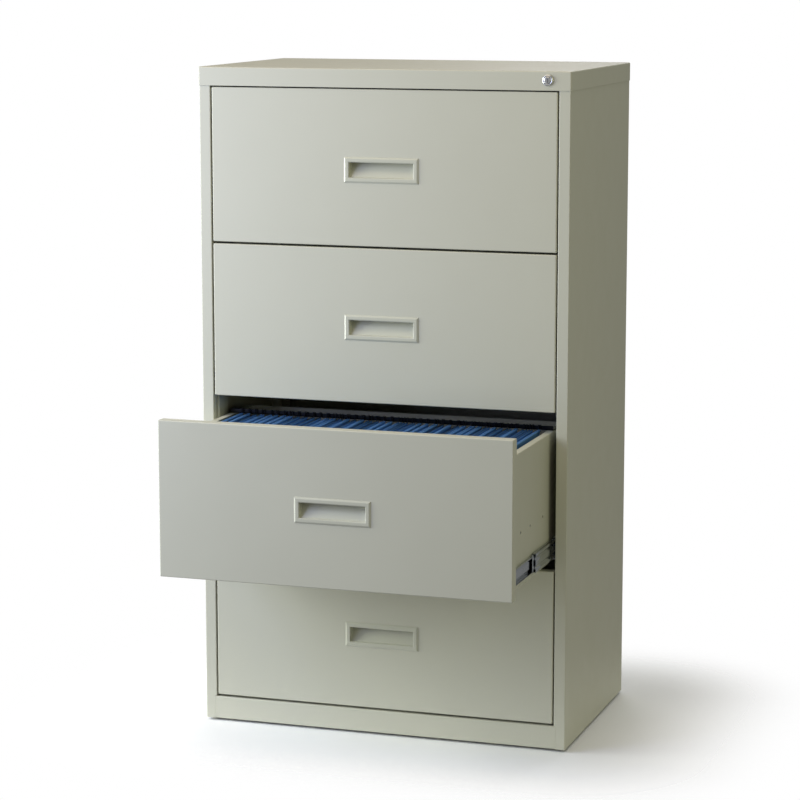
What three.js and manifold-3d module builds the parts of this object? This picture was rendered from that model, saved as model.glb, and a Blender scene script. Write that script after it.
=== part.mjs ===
// A four-drawer lateral file cabinet in folded sheet steel, with its third drawer pulled part way out.
// Millimetres, +Z up. X runs along the width, the drawers open towards -Y, and Z is 0 at the floor.
// Pieces are placed in the case's own frame, where Y is 0 at the face of the posts, and the whole
// group is then moved so that the origin is at the middle of the bounding box's floor.
import * as THREE from "three";
import { mergeVertices } from "three/addons/utils/BufferGeometryUtils.js";
import Module from "manifold-3d";

const wasm = await Module();
wasm.setup();

// ---- Driving dimensions ---------------------------------------------------------------------

// Overall, over the top cap and from the floor
const width = 762;
const depth = 473.2;
const height = 1333.5;
const footGap = 5.4; // floor to the bottom edge of the case

// Sheet thicknesses
const caseSheet = 1.2;
const drawerSheet = 1;
const uprightSheet = 1.5;
const slideSheet = 1.2;
const gap = 0.3; // between pieces that touch

// Case
const capSkirt = 37;
const postWidth = 22.7;
const postReturn = 16.6;
const rearFlange = 18;
const baseRailHeight = 46.3;
const baseRailLap = 3.5; // how far the rail reaches past the posts' inner edges
const baseRailFromUpright = 3.6;
const baseRailFoot = 12;
const baseRailTab = 14;
const panRise = 24.6; // bottom edge of the case to the bottom pan's plate
const panFlange = 18;
const uprightWidth = 50;
const uprightSetIn = 2.5; // from the posts' inner edge to the uprights' faces
const uprightFromPost = 7;

// Levelling glides
const glideInsetX = 48;
const glideInsetY = 30;
const glideRadius = 12;
const glidePadHeight = 4;
const glideHubRadius = 8;
const glideHubHeight = 3;
const glideNutRadius = 6.5;
const glideNutHeight = 5;
const glideStudRadius = 4;
const glideStudAbovePan = 8;

// Drawers, counted from the top
const drawerCount = 4;
const openDrawer = 3;
const openBy = 290;
const gapBelowCap = 2.5;
const gapAboveRail = 4.5;
const gapBetweenFronts = 4;
const gapBesideFront = 3.1;
const frontDepth = 22;
const trayFromBack = 28.7;
const trayRise = 10; // front's bottom edge to the tray's bottom
const trayDrop = 39; // front's top edge to the tray's top
const trayFlange = 14;
const sideHoleRadius = 3;
const sideHoleRise = 112.8;
const sideHolesY = [99, 164, 255];

// Telescopic slides
const slideThickness = 12.7;
const slideRise = 38.5; // front's bottom edge to the slide's centre line
const slideFromFront = 4;
const slideFromTrayRear = 8.3;
const cabinetMemberHeight = 45;
const middleMemberHeight = 38;
const drawerMemberHeight = 31;
const memberStep = 2; // between the webs of the cabinet and middle members
const memberEndSetback = 1.5;
const cabinetFlangeSetback = 1.5; // flange tips to the slide's drawer side
const middleFlangeSetback = 0.8;
const drawerFlangeGap = 1.9; // flange tips to the middle member's web

// Recessed pulls
const pullWidth = 153;
const pullHeight = 50;
const pullOpeningWidth = 132.5;
const pullOpeningHeight = 30;
const pullProud = 2;
const pullWall = 1.6;
const pullFromTray = 1.7;
const pullBottomDepth = 3;
const pullBelowMiddle = 4;
const pullHoleClearance = 0.5;

// File bar and hanging folders
const folderSpan = 312; // front wall of the tray to the file bar
const fileBarWidth = 14;
const fileBarHeight = 9;
const fileBarSheet = 1.5;
const fileBarEndGap = 3;
const folderCount = 21;
const folderSheet = 1;
const folderFloorGap = 12;
const folderEndGap = 4;
const folderSideGap = 8;
const folderAboveTray = 2;

// Lock
const lockFromSide = 46.4;
const lockDrop = 17.4; // top of the cabinet to the lock's axis
const lockFaceRadius = 11;
const lockFaceProud = 2.5;
const lockBarrelRadius = 9.5;
const lockBarrelLength = 11.3;
const lockPlugRadius = 6.2;
const lockPlugProud = 0.8;
const lockTailRadius = 2.5;
const lockRunningGap = 0.3;
const keywayWidth = 2;
const keywayHeight = 8.6;
const keywayDepth = 7;
const camSheet = 1.5;
const camHubRadius = 6;
const camPinRadius = 1.5;
const camReach = 10;
const camHalfSwing = Math.PI / 4;
const camSlotGap = 0.6;
const camToBar = 0.4;
const barWidth = 14;
const barSheet = 1.5;
const barFromPost = 3.5;
const barArmHeight = 12;
const barArmEnd = 1.8;
const barBottom = 120;
const earHeight = 16;
const earReach = 6.5;
const earFromPost = 1; // behind the edge of the post's return

// ---- Sizes that follow ----------------------------------------------------------------------

const capOuter = width / 2;
const capInner = capOuter - caseSheet;
const sideOuter = capInner - gap;
const sideInner = sideOuter - caseSheet;
const capFront = -(caseSheet + gap);
const capRear = capFront + depth;
const backOuter = capRear - caseSheet - gap;
const backInner = backOuter - caseSheet;
const sideRear = backInner - gap;
const panelTop = height - caseSheet - gap;
const skirtBottom = height - capSkirt;
const postInner = sideOuter - postWidth;
const railTop = footGap + baseRailHeight;
const railHalf = postInner + baseRailLap;
const panBottom = footGap + panRise;
const panTop = panBottom + caseSheet;

const openingBottom = railTop + gapAboveRail;
const openingTop = skirtBottom - gapBelowCap;
const frontHalf = postInner - gapBesideFront;
const frontHeight =
  (openingTop - openingBottom - (drawerCount - 1) * gapBetweenFronts) / drawerCount;
const frontPitch = frontHeight + gapBetweenFronts;

const uprightInner = postInner - uprightSetIn;
const uprightFront = postReturn + uprightFromPost;
const baseRailReturn = uprightFront - baseRailFromUpright;
const slideOuter = uprightInner - gap;
const trayHalf = slideOuter - slideThickness - gap;
const trayFront = frontDepth + gap;
const trayRear = backInner - trayFromBack;
const slideFront = frontDepth + slideFromFront;
const slideRear = trayRear - slideFromTrayRear;
const fileBarFront = trayFront + drawerSheet + folderSpan;
const pullTopDepth = trayFront - pullFromTray - pullWall;

const lockX = capOuter - lockFromSide;
const lockZ = height - lockDrop;
const lockBarrelRear = capFront + lockBarrelLength;
const camFront = lockBarrelRear + lockRunningGap;
const camRear = camFront + camSheet;
const barFront = camRear + camToBar;
const barInner = postInner + caseSheet + barFromPost;
const camPinX = lockX + camReach * Math.cos(camHalfSwing);
const camPinZ = lockZ - camReach * Math.sin(camHalfSwing);

// The origin's place in the case's frame: halfway between the open drawer's pull and the cap's rear
const originY = (capRear - openBy - gap - pullProud) / 2;

// ---- Solids ---------------------------------------------------------------------------------

// Places are rounded to a ten-thousandth, so that pieces of one solid meet exactly where they share a face
const rounded = (value) => Math.round(value * 1e4) / 1e4;

function toSolid(geometry) {
  const bare = geometry.clone();
  bare.deleteAttribute("normal");
  bare.deleteAttribute("uv");
  const merged = mergeVertices(bare, 1e-4);
  return new wasm.Manifold(
    new wasm.Mesh({
      numProp: 3,
      vertProperties: Float32Array.from(merged.attributes.position.array, rounded),
      triVerts: new Uint32Array(merged.index.array),
    }),
  );
}

function toGeometry(solid) {
  const mesh = solid.getMesh();
  const geometry = new THREE.BufferGeometry();
  geometry.setAttribute("position", new THREE.BufferAttribute(mesh.vertProperties, 3));
  geometry.setIndex(new THREE.BufferAttribute(mesh.triVerts, 1));
  geometry.computeVertexNormals();
  return geometry;
}

const join = (...solids) => solids.reduce((whole, next) => whole.add(next));

// A block between two places on each axis, given in either order
function block([x0, x1], [y0, y1], [z0, z1]) {
  const box = new THREE.BoxGeometry(Math.abs(x1 - x0), Math.abs(y1 - y0), Math.abs(z1 - z0));
  box.translate((x0 + x1) / 2, (y0 + y1) / 2, (z0 + z1) / 2);
  return toSolid(box);
}

// A round bar between two places on X, Y or Z, centred on the other two
function roundBar(axis, radius, [from, to], [a, b], sides = 24) {
  const bar = new THREE.CylinderGeometry(radius, radius, Math.abs(to - from), sides);
  const middle = (from + to) / 2;
  if (axis === "x") bar.rotateZ(Math.PI / 2).translate(middle, a, b);
  if (axis === "y") bar.translate(a, middle, b);
  if (axis === "z") bar.rotateX(Math.PI / 2).translate(a, b, middle);
  return toSolid(bar);
}

// A turned piece: [radius, distance along the axis] pairs in order
const turned = (profile, sides) =>
  new THREE.LatheGeometry(profile.map(([r, along]) => new THREE.Vector2(r, along)), sides);

// A prism whose outline's first and second numbers run along two axes, extruded along the third
function prism(outline, [from, to], axes) {
  const shape = new THREE.Shape(outline.map(([a, b]) => new THREE.Vector2(a, b)));
  const geometry = new THREE.ExtrudeGeometry(shape, { depth: to - from, bevelEnabled: false });
  geometry.translate(0, 0, from);
  return toSolid(geometry.applyMatrix4(new THREE.Matrix4().makeBasis(...axes)));
}

const [X, Y, Z] = [
  new THREE.Vector3(1, 0, 0),
  new THREE.Vector3(0, 1, 0),
  new THREE.Vector3(0, 0, 1),
];
// [y, z] outlines along X, [z, x] outlines along Y and [x, y] outlines along Z
const alongX = (outline, span) => prism(outline, span, [Y, Z, X]);
const alongY = (outline, span) => prism(outline, span, [Z, X, Y]);
const alongZ = (outline, span) => prism(outline, span, [X, Y, Z]);

// The section of a folded sheet: the corners of one face in order, and the same corners set to the
// left of that line by the sheet's thickness. Every fold is square.
function folded(corners, sheet) {
  const directions = corners
    .slice(1)
    .map(([a, b], i) => [Math.sign(a - corners[i][0]), Math.sign(b - corners[i][1])]);
  const other = corners.map(([a, b], i) => {
    const touching = new Set([directions[i - 1], directions[i]].filter(Boolean));
    const [da, db] = [...touching].reduce((sum, [x, y]) => [sum[0] - y, sum[1] + x], [0, 0]);
    return [a + da * sheet, b + db * sheet];
  });
  return [...corners, ...other.reverse()];
}

const mirrored = (outline, side, place) =>
  outline.map((pair) => pair.map((value, i) => (i === place ? side * value : value)));

// ---- Materials ------------------------------------------------------------------------------

const finishes = {
  puttyPaint: { color: "#b9bbac", roughness: 0.5, metalness: 0.1 },
  puttyPlastic: { color: "#b7b9a9", roughness: 0.45, metalness: 0 },
  zinc: { color: "#b4b6b4", roughness: 0.35, metalness: 0.9 },
  chrome: { color: "#d9dbdc", roughness: 0.12, metalness: 1 },
  blueCard: { color: "#27568f", roughness: 0.8, metalness: 0 },
};

function addPiece(group, name, solid, finish) {
  const piece = new THREE.Mesh(
    toGeometry(solid),
    new THREE.MeshStandardMaterial(finishes[finish]),
  );
  piece.name = name;
  group.add(piece);
  return piece;
}

const sides = [
  ["left", -1],
  ["right", 1],
];

// ---- Case -----------------------------------------------------------------------------------

// The side wall, folded round into the front post and its return, and into a flange at the rear
function sidePanel(side) {
  const section = folded(
    [
      [postInner, postReturn],
      [postInner, 0],
      [sideOuter, 0],
      [sideOuter, sideRear],
      [sideOuter - rearFlange, sideRear],
    ],
    caseSheet,
  );
  const panel = alongZ(mirrored(section, side, 0), [footGap, panelTop]);
  // the post's return stops at the drawers' opening, and the post makes room for the base rail
  const header = block(
    [side * (postInner - 1), side * (postInner + caseSheet + 1)],
    [caseSheet + gap, postReturn + 1],
    [openingTop, height],
  );
  const railNotch = block(
    [side * (postInner - 1), side * (railHalf + gap)],
    [-1, postReturn + 1],
    [0, railTop + gap],
  );
  return panel.subtract(header).subtract(railNotch);
}

function backPanel() {
  return block([-sideOuter, sideOuter], [backInner, backOuter], [footGap, panelTop]);
}

function topCap() {
  const outer = block([-capOuter, capOuter], [capFront, capRear], [skirtBottom, height]);
  const inside = block(
    [-capInner, capInner],
    [capFront + caseSheet, capRear - caseSheet],
    [skirtBottom - gap, height - caseSheet],
  );
  const lockHole = roundBar(
    "y",
    lockBarrelRadius + gap,
    [capFront - 1, capFront + caseSheet + 1],
    [lockX, lockZ],
  );
  return outer.subtract(inside).subtract(lockHole);
}

// The kick rail below the bottom drawer, with joggled tabs that are welded behind the posts
function baseRail() {
  const section = folded(
    [
      [baseRailReturn, railTop],
      [0, railTop],
      [0, footGap],
      [baseRailFoot, footGap],
    ],
    caseSheet,
  );
  const rail = alongX(section, [-railHalf, railHalf]);
  const tabBack = 2 * caseSheet + gap;
  const tab = folded(
    [
      [railHalf, caseSheet / 2],
      [railHalf, tabBack - caseSheet],
      [railHalf + baseRailTab, tabBack - caseSheet],
    ],
    caseSheet,
  );
  const height = [footGap + 2 * caseSheet, railTop - 2 * caseSheet];
  return join(rail, ...sides.map(([, side]) => alongZ(mirrored(tab, side, 0), height)));
}

const glidePlaces = [
  ["front", glideInsetY],
  ["rear", sideRear - glideInsetY],
].flatMap(([end, y]) => sides.map(([name, side]) => [`${end}_${name}`, side * (capOuter - glideInsetX), y]));

// The floor pan that ties the sides together, with a clearance hole for each glide's stud
function bottomPan() {
  const half = sideInner - gap;
  const front = 2 * (caseSheet + gap);
  const rear = sideRear - caseSheet - gap;
  const outer = block([-half, half], [front, rear], [panTop - panFlange, panTop]);
  const inside = block(
    [-(half - caseSheet), half - caseSheet],
    [front + caseSheet, rear - caseSheet],
    [panTop - panFlange - gap, panBottom],
  );
  return glidePlaces.reduce(
    (pan, [, x, y]) =>
      pan.subtract(roundBar("z", glideStudRadius + gap, [panBottom - 1, panTop + 1], [x, y], 16)),
    outer.subtract(inside),
  );
}

// A pad, a hub, a threaded stud and the jam nut under the pan, turned as one
function levellingGlide() {
  const nutTop = panBottom - gap;
  const profile = [
    [0, 0],
    [glideRadius, 0],
    [glideRadius, glidePadHeight],
    [glideHubRadius, glidePadHeight],
    [glideHubRadius, glidePadHeight + glideHubHeight],
    [glideStudRadius, glidePadHeight + glideHubHeight],
    [glideStudRadius, nutTop - glideNutHeight],
    [glideNutRadius, nutTop - glideNutHeight],
    [glideNutRadius, nutTop],
    [glideStudRadius, nutTop],
    [glideStudRadius, panTop + glideStudAbovePan],
    [0, panTop + glideStudAbovePan],
  ];
  return toSolid(turned(profile, 16).rotateX(Math.PI / 2));
}

// A channel between the pan and the cap, which carries one end of every slide on its side
function upright(side, front) {
  const rear = front + uprightWidth;
  const section = folded(
    [
      [sideInner - gap, rear],
      [uprightInner, rear],
      [uprightInner, front],
      [sideInner - gap, front],
    ],
    uprightSheet,
  );
  return alongZ(mirrored(section, side, 0), [panTop + gap, panelTop - gap]);
}

// ---- Lock -----------------------------------------------------------------------------------

function lockHousing() {
  const bore = lockPlugRadius + lockRunningGap;
  const face = capFront - gap;
  const profile = [
    [bore, face - lockFaceProud],
    [lockFaceRadius, face - lockFaceProud],
    [lockFaceRadius, face],
    [lockBarrelRadius, face],
    [lockBarrelRadius, lockBarrelRear],
    [bore, lockBarrelRear],
    [bore, face - lockFaceProud],
  ];
  return toSolid(turned(profile, 32).translate(lockX, 0, lockZ));
}

function lockPlug() {
  const front = capFront - gap - lockFaceProud - lockPlugProud;
  const plug = roundBar("y", lockPlugRadius, [front, lockBarrelRear], [lockX, lockZ]);
  const tail = roundBar("y", lockTailRadius, [lockBarrelRear - 1, camRear], [lockX, lockZ], 16);
  const keyway = block(
    [lockX - keywayWidth / 2, lockX + keywayWidth / 2],
    [front - 1, front + keywayDepth],
    [lockZ - keywayHeight / 2, lockZ + keywayHeight / 2],
  );
  return plug.add(tail).subtract(keyway);
}

// The cam on the plug's tail, with the pin that lifts the bar as the plug turns
function lockCam() {
  const hub = roundBar("y", camHubRadius, [camFront, camRear], [lockX, lockZ]);
  const hole = roundBar(
    "y",
    lockTailRadius + lockRunningGap,
    [camFront - 1, camRear + 1],
    [lockX, lockZ],
    16,
  );
  const pin = roundBar(
    "y",
    camPinRadius,
    [camFront, barFront + 2 * barSheet],
    [camPinX, camPinZ],
    16,
  );
  // the arm runs from the hub to the pin, a little wider than the pin
  const half = camPinRadius + 1;
  const along = [Math.cos(camHalfSwing), -Math.sin(camHalfSwing)];
  const across = [-along[1], along[0]];
  const corner = (reach, offset) => [
    lockZ + along[1] * reach + across[1] * offset,
    lockX + along[0] * reach + across[0] * offset,
  ];
  const arm = alongY(
    [
      corner(0, -half),
      corner(camReach + half, -half),
      corner(camReach + half, half),
      corner(0, half),
    ],
    [camFront, camRear],
  );
  return join(hub, arm, pin).subtract(hole);
}

// The bar behind the right post: an arm with the cam pin's slot, and an ear at each drawer
function lockBar() {
  const barOuter = barInner + barWidth;
  const slotHalf = camPinRadius + camSlotGap;
  const slot = [camPinX - slotHalf, lockX + camReach + slotHalf];
  const armEnd = slot[0] - barArmEnd;
  const armTop = camPinZ + barArmHeight / 2;
  const armBottom = camPinZ - barArmHeight / 2;
  const outline = [
    [barBottom, barInner],
    [armBottom, barInner],
    [armBottom, armEnd],
    [armTop, armEnd],
    [armTop, barOuter],
    [barBottom, barOuter],
  ];
  const bar = alongY(outline, [barFront, barFront + barSheet]);
  const hole = block(
    slot,
    [barFront - 1, barFront + barSheet + 1],
    [camPinZ - slotHalf, camPinZ + slotHalf],
  );
  // each ear is an angle: it leaves the bar's back and turns in towards the drawer
  const earBack = postReturn + earFromPost + barSheet;
  const ear = folded(
    [
      [barInner + barSheet + 1, barFront + barSheet / 2],
      [barInner + barSheet + 1, earBack],
      [barInner - earReach, earBack],
    ],
    barSheet,
  );
  const ears = Array.from({ length: drawerCount }, (_, i) => {
    const z = frontBottom(i + 1) + frontHeight / 2;
    return alongZ(ear, [z, z + earHeight]);
  });
  return join(bar, ...ears).subtract(hole);
}

// ---- Drawers --------------------------------------------------------------------------------

function frontBottom(number) {
  return openingBottom + (drawerCount - number) * frontPitch;
}

const pullCentre = frontHeight / 2 - pullBelowMiddle;

// The front is a pan, with returns on its four edges and a hole for the pull's cup.
// Everything on a drawer is placed with Z 0 at the front's bottom edge.
function drawerFront() {
  const outer = block([-frontHalf, frontHalf], [0, frontDepth], [0, frontHeight]);
  const inside = block(
    [-(frontHalf - drawerSheet), frontHalf - drawerSheet],
    [drawerSheet, frontDepth + 1],
    [drawerSheet, frontHeight - drawerSheet],
  );
  const holeHalf = pullOpeningWidth / 2 + pullWall + pullHoleClearance;
  const holeRise = pullOpeningHeight / 2 + pullWall + pullHoleClearance;
  const hole = block(
    [-holeHalf, holeHalf],
    [-1, drawerSheet + 1],
    [pullCentre - holeRise, pullCentre + holeRise],
  );
  return outer.subtract(inside).subtract(hole);
}

// A bezel on the front's face, and a cup behind it that is deep at the top for the fingertips
function drawerPull() {
  const halfOpening = pullOpeningHeight / 2;
  const bezel = block(
    [-pullWidth / 2, pullWidth / 2],
    [-gap - pullProud, -gap],
    [pullCentre - pullHeight / 2, pullCentre + pullHeight / 2],
  );
  const wedge = (wall, front) => [
    [front, pullCentre - halfOpening - wall],
    [pullBottomDepth + wall, pullCentre - halfOpening - wall],
    [pullTopDepth + wall, pullCentre + halfOpening + wall - drawerSheet],
    [pullTopDepth + wall, pullCentre + halfOpening + wall],
    [front, pullCentre + halfOpening + wall],
  ];
  const halfWidth = pullOpeningWidth / 2;
  const cup = alongX(wedge(pullWall, -gap - pullProud / 2), [
    -halfWidth - pullWall,
    halfWidth + pullWall,
  ]);
  const recess = alongX(wedge(0, -gap - pullProud - 1), [-halfWidth, halfWidth]);
  return join(bezel, cup).subtract(recess);
}

const trayTop = frontHeight - trayDrop;

// The folded tray: four walls and a floor, inward flanges on the sides, three holes in each side
function drawerTray() {
  const inner = trayHalf - drawerSheet;
  const outer = block([-trayHalf, trayHalf], [trayFront, trayRear], [trayRise, trayTop]);
  const inside = block(
    [-inner, inner],
    [trayFront + drawerSheet, trayRear - drawerSheet],
    [trayRise + drawerSheet, trayTop + 1],
  );
  const flanges = sides.map(([, side]) =>
    block(
      [side * (trayHalf - trayFlange), side * trayHalf],
      [trayFront, trayRear],
      [trayTop - drawerSheet, trayTop],
    ),
  );
  const holes = sideHolesY.map((y) =>
    roundBar("x", sideHoleRadius, [-trayHalf - 1, trayHalf + 1], [y, sideHoleRise], 12),
  );
  return join(outer.subtract(inside), ...flanges).subtract(join(...holes));
}

// The angle that the folders' rear hooks hang on: it lies across the tray's side flanges
function fileBar() {
  const half = trayHalf - fileBarEndGap;
  const bottom = trayTop + gap;
  const section = folded(
    [
      [fileBarFront, bottom + fileBarHeight],
      [fileBarFront, bottom],
      [fileBarFront + fileBarWidth, bottom],
    ],
    fileBarSheet,
  );
  return alongX(section, [-half, half]);
}

// The folders as one folded sheet, down and up once for each folder, across the tray
function hangingFolders() {
  const half = trayHalf - trayFlange - folderSideGap;
  const bottom = trayRise + drawerSheet + folderFloorGap;
  const top = trayTop + folderAboveTray;
  const step = half / folderCount;
  // a steep sheet is this tall, measured straight up through it
  const throughSheet = (folderSheet * Math.hypot(step, top - bottom)) / step;
  const upper = [];
  const lower = [];
  for (let i = 0; i <= 2 * folderCount; i++) {
    const x = -half + i * step;
    upper.push([i % 2 ? bottom + throughSheet : top, x]);
    lower.unshift([i % 2 ? bottom : top - throughSheet, x]);
  }
  return alongY(
    [...upper, ...lower],
    [trayFront + drawerSheet + folderEndGap, fileBarFront - folderEndGap],
  );
}

// ---- Slides ---------------------------------------------------------------------------------

// A channel lying along Y, with its web at webX and its two flanges reaching to flangeX
function slideMember(side, webX, flangeX, memberHeight, setback) {
  const [bottom, top] = [slideRise - memberHeight / 2, slideRise + memberHeight / 2];
  const corners = [
    [top, flangeX],
    [top, webX],
    [bottom, webX],
    [bottom, flangeX],
  ];
  // the thickness goes to the left of the line, which has to be the channel's inside
  const section = folded(flangeX > webX ? corners.reverse() : corners, slideSheet);
  return alongY(mirrored(section, side, 1), [slideFront + setback, slideRear]);
}

const drawerFace = slideOuter - slideThickness;
const middleWeb = slideOuter - slideSheet - memberStep;
const drawerFlangeTip = middleWeb - slideSheet - drawerFlangeGap;

const slideMembers = {
  cabinet: (side) =>
    slideMember(side, slideOuter, drawerFace + cabinetFlangeSetback, cabinetMemberHeight, 0),
  middle: (side) =>
    slideMember(side, middleWeb, drawerFace + middleFlangeSetback, middleMemberHeight, memberEndSetback),
  drawer: (side) => slideMember(side, drawerFace, drawerFlangeTip, drawerMemberHeight, 0),
};

// ---- Assembly -------------------------------------------------------------------------------

const cabinet = new THREE.Group();
cabinet.position.set(0, -originY, 0);

for (const [name, side] of sides) {
  addPiece(cabinet, `${name}_side_panel`, sidePanel(side), "puttyPaint");
  addPiece(cabinet, `front_${name}_upright`, upright(side, uprightFront), "puttyPaint");
  addPiece(cabinet, `rear_${name}_upright`, upright(side, slideRear - uprightWidth), "puttyPaint");
}
addPiece(cabinet, "back_panel", backPanel(), "puttyPaint");
addPiece(cabinet, "top_cap", topCap(), "puttyPaint");
addPiece(cabinet, "base_rail", baseRail(), "puttyPaint");
addPiece(cabinet, "bottom_pan", bottomPan(), "puttyPaint");

for (const [place, x, y] of glidePlaces)
  addPiece(cabinet, `${place}_glide`, levellingGlide(), "zinc").position.set(x, y, 0);

addPiece(cabinet, "lock_housing", lockHousing(), "chrome");
addPiece(cabinet, "lock_plug", lockPlug(), "chrome");
addPiece(cabinet, "lock_cam", lockCam(), "zinc");
addPiece(cabinet, "lock_bar", lockBar(), "zinc");

for (let number = 1; number <= drawerCount; number++) {
  const open = number === openDrawer ? openBy : 0;
  const bay = new THREE.Group(); // fixed to the case
  bay.position.z = frontBottom(number);
  const carriage = new THREE.Group(); // the middle members, which travel half as far
  carriage.position.y = -open / 2;
  const drawer = new THREE.Group();
  drawer.position.y = -open;
  bay.add(carriage, drawer);
  cabinet.add(bay);

  const named = (piece) => `drawer_${number}_${piece}`;
  addPiece(drawer, named("front"), drawerFront(), "puttyPaint");
  addPiece(drawer, named("pull"), drawerPull(), "puttyPlastic");
  addPiece(drawer, named("tray"), drawerTray(), "puttyPaint");
  addPiece(drawer, named("file_bar"), fileBar(), "zinc");
  if (number === openDrawer)
    addPiece(drawer, named("folders"), hangingFolders(), "blueCard");
  for (const [name, side] of sides) {
    addPiece(bay, named(`${name}_slide_cabinet`), slideMembers.cabinet(side), "zinc");
    addPiece(carriage, named(`${name}_slide_middle`), slideMembers.middle(side), "zinc");
    addPiece(drawer, named(`${name}_slide_drawer`), slideMembers.drawer(side), "zinc");
  }
}

export default cabinet;
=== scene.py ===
import math
import random

import bmesh
import bpy
from mathutils import Matrix, Vector


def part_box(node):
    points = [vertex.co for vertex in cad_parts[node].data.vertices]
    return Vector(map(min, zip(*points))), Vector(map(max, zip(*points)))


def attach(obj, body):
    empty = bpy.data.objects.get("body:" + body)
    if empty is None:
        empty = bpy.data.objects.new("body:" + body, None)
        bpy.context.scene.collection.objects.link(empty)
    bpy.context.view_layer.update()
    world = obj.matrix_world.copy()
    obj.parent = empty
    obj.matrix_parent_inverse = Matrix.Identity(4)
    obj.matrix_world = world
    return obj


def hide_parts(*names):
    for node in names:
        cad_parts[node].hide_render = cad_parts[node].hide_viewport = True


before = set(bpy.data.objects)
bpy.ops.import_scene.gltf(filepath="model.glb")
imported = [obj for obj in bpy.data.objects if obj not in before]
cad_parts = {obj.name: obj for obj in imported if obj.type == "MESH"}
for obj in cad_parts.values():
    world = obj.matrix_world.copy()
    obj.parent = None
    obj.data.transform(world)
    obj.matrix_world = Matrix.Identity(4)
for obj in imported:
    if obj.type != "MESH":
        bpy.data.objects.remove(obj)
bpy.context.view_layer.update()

bl_info = {
    "name": "Lateral file cabinet",
    "version": (1, 0, 0),
    "blender": (4, 5, 0),
    "location": "3D View > Sidebar > Lateral file",
    "description": "Dresses a four-drawer lateral file cabinet in its finished sheet metal, fittings and paint",
    "category": "Object",
}

mm = 0.001
DRAWERS = (1, 2, 3, 4)
SIDES = (("left", -1), ("right", 1))

# thickness of the sheet that the parts are folded from
DRAWER_SHEET = 1 * mm
CASE_SHEET = 1.2 * mm
HEAVY_SHEET = 1.5 * mm

SMOOTH_BELOW = 40  # degrees: folds and fillets shade smoothly, and sharper corners don't
FOLD_FROM = 30  # degrees: an edge of sheet turned by more than this is a fold
SQUARE_FROM = 60  # degrees: an edge turned by more than this is a square corner


# ---- Settings -------------------------------------------------------------------------------


def linear(colour):
    """An sRGB hex colour as linear red, green and blue."""
    channels = (int(colour[i : i + 2], 16) / 255 for i in (1, 3, 5))
    return [c / 12.92 if c <= 0.04045 else ((c + 0.055) / 1.055) ** 2.4 for c in channels]


def size(label, text, millimetres):
    return bpy.props.FloatProperty(
        name=label, description=text, default=millimetres * mm, min=0, subtype="DISTANCE", unit="LENGTH", precision=5
    )


def colour(label, text, value):
    return bpy.props.FloatVectorProperty(
        name=label, description=text, default=linear(value), size=3, min=0, max=1, subtype="COLOR"
    )


def share(label, text, value):
    return bpy.props.FloatProperty(
        name=label, description=text, default=value, min=0, max=1, subtype="FACTOR"
    )


class SheetMetalSettings(bpy.types.PropertyGroup):
    case_bend: size("Case bend", "Inside radius of the folds in the case", 1.2)
    cap_bend: size("Cap bend", "Inside radius of the folds in the top cap", 1.6)
    drawer_bend: size("Drawer bend", "Inside radius of the folds in the drawers", 1.1)
    edge_ease: size("Edge ease", "How far a cut edge of sheet is rounded over by its paint", 0.25)


class PullSettings(bpy.types.PropertyGroup):
    slope: size("Outer slope", "Width of the slope round the outside of the bezel", 3.2)
    lip: size("Inner lip", "Width of the rounded lip round the opening", 1.8)
    wall: size("Wall", "Thickness of the moulding", 1.4)
    fillet: size("Cup fillet", "Radius where the cup's walls meet its back", 1.5)


class SlideSettings(bpy.types.PropertyGroup):
    sheet: size("Sheet", "Thickness of the slide members", 1.2)
    bend: size("Bend", "Radius of the members' outer folds", 1.9)
    ball: size("Ball", "Diameter of the balls", 3)
    ball_pitch: size("Ball pitch", "Distance between balls in a cage", 14)
    cage_length: size("Cage length", "Length of a ball cage", 176)


class FolderSettings(bpy.types.PropertyGroup):
    count: bpy.props.IntProperty(
        name="Count", description="Number of hanging folders in the open drawer", default=42, min=1
    )
    spread: size("Spread", "Distance between the two rods of a folder", 4.6)
    card: size("Card", "Thickness of the folder card", 0.5)
    rod: size("Rod", "Thickness of a folder's rod", 1)
    seed: bpy.props.IntProperty(
        name="Seed", description="Chooses how the folders lean and space themselves", default=7
    )


class FinishSettings(bpy.types.PropertyGroup):
    paint: colour("Paint", "Putty powder coat on the case and drawers", "#BFBEAC")
    plastic: colour("Pull plastic", "Moulded plastic of the pulls", "#BDBDAB")
    card: colour("Folder card", "Card of the hanging folders", "#5484BC")
    zinc: colour("Zinc", "Zinc plate on the slides, lock bar and glides", "#B4B9BC")
    # painted shade: a near-black zinc colour stands in for the shadow that the file bars and folder rods lie in
    # inside the drawer
    black_zinc: colour("Black zinc", "Black passivated zinc on the file bars and folder rods", "#2A2B2D")
    chrome: colour("Chrome", "Chrome plate on the lock", "#E8E8E4")
    paint_roughness: share("Paint roughness", "How dull the powder coat is", 0.44)


def watts(label, text, value):
    return bpy.props.FloatProperty(name=label, description=text, default=value, min=0, unit="POWER")


class StageSettings(bpy.types.PropertyGroup):
    floor: colour("Floor", "Pale floor under the cabinet", "#F6F6F5")
    key: watts("Key light", "Strength of the tall softbox at the left", 120)
    near: watts("Near light", "Strength of the narrow softbox at the front left", 31)
    top: watts("Top light", "Strength of the softbox overhead", 28.5)
    fill: watts("Fill light", "Strength of the softbox at the right", 22)
    rear: watts("Rear top light", "Strength of the softbox above and behind", 31)
    back: watts("Back light", "Strength of the softbox that lights the back", 30)
    ambient: share("Ambient", "Brightness of the room all round", 0.22)


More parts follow.
